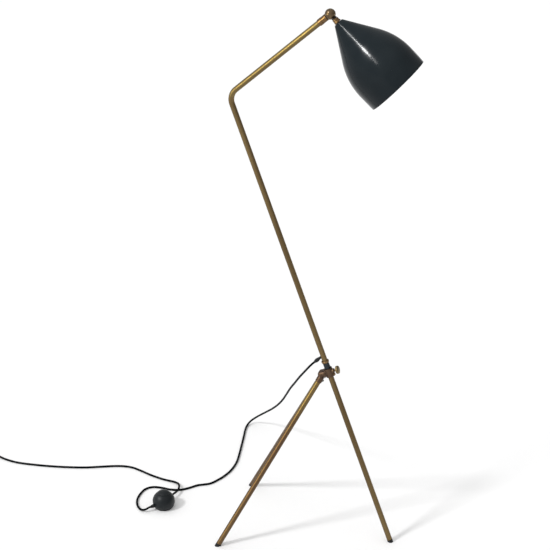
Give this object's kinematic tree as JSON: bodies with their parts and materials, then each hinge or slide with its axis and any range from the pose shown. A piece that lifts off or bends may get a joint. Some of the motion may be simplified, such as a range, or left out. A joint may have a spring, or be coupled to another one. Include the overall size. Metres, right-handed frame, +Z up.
{
  "type": "tripod floor lamp",
  "caption": "Floor lamp on three tube legs, with a leaning bent pole, a ball joint, a tilting bell-shaped metal shade and a foot switch on its cord.",
  "frame": {"origin": "on the floor, in the middle of the lamp's own box without its cord", "axes": "+Z up, +X the way the shade points, symmetric about the XZ plane apart from the cord"},
  "size_m": [1.1447, 0.5444, 1.2497],
  "materials": {
    "brass_tube": "satin, patinated",
    "brass_turned": "polished, worn",
    "brass_cast": "cast, dull",
    "steel": "plain",
    "black_oxide": "blackened, satin",
    "shade_enamel": "glossy enamel",
    "bakelite": "worn gloss",
    "rubber": "matt",
    "flex": "smooth sheath",
    "ceramic": "glazed",
    "opal_glass": "frosted"
  },
  "bodies": {
    "tripod": {"hub_casting": "brass_cast", "front_leg": "brass_tube", "rear_leg_left": "brass_tube", "rear_leg_right": "brass_tube", "foot_tip_front": "rubber", "foot_tip_left": "rubber", "foot_tip_right": "rubber", "front_leg_screw": "brass_turned", "rear_leg_screw_left": "steel", "rear_leg_screw_right": "steel", "switch_pad": "rubber", "switch_base": "bakelite", "switch_cover": "bakelite", "switch_screw_1": "steel", "switch_screw_2": "steel", "switch_gland_out": "rubber", "switch_gland_in": "rubber", "switch_mechanism": "ceramic", "button_spring": "steel", "cord_to_switch": "flex", "cord_to_coil": "flex", "cord_coil": "flex", "coil_tie": "rubber", "cord_plug": "flex", "plug_body": "rubber", "plug_pin_1": "steel", "plug_pin_2": "steel", "plug_relief": "rubber"},
    "clamp_screw": {"clamp_screw": "steel", "clamp_knob": "brass_turned"},
    "pole": {"pole_spigot": "black_oxide", "pole_collar": "brass_turned", "collar_screw": "steel", "pole_and_arm": "brass_tube", "inner_flex": "flex", "strain_relief": "rubber", "arm_ferrule": "brass_turned"},
    "ball": {"ball_rear_half": "brass_turned", "ball_front_half": "brass_turned", "pivot_pin": "steel", "swivel_nut": "brass_turned"},
    "shade": {"neck_stem": "brass_turned", "neck_washer": "rubber", "neck_ferrule": "brass_turned", "shade": "shade_enamel", "shade_nut": "brass_turned", "lampholder_cap": "bakelite", "lampholder_shell": "bakelite", "lampholder_insert": "ceramic", "centre_contact": "brass_turned", "lamp_thread": "brass_turned", "bulb_cap": "steel", "bulb_glass": "opal_glass"},
    "switch_button": {"switch_button": "bakelite"}
  },
  "joints": [
    {"name": "clamp_screw_turn", "type": "hinge", "parent": "tripod", "child": "clamp_screw", "pos_m": [0.02558, 0, 0.42722], "axis": [0.9403, 0, 0.3404], "range_deg": [0, 720]},
    {"name": "pole_turn", "type": "hinge", "parent": "tripod", "child": "pole", "pos_m": [0.03, 0, 0.415], "axis": [-0.3404, 0, 0.9403], "range_deg": [-40, 40], "deforming": ["cord_to_switch"]},
    {"name": "ball_swivel", "type": "hinge", "parent": "pole", "child": "ball", "pos_m": [0.01511, 0, 1.23845], "axis": [0.7513, 0, 0.66], "range_deg": [-90, 90]},
    {"name": "shade_tilt", "type": "hinge", "parent": "ball", "child": "shade", "pos_m": [0.01511, 0, 1.23845], "axis": [0, 1, 0], "range_deg": [-10, 28]},
    {"name": "switch_press", "type": "slide", "parent": "tripod", "child": "switch_button", "axis": [0, 0, -1], "range_m": [0, 0.003], "stiffness_N_per_m": 1500, "springref_m": -0.003, "deforming": ["button_spring"]}
  ]
}
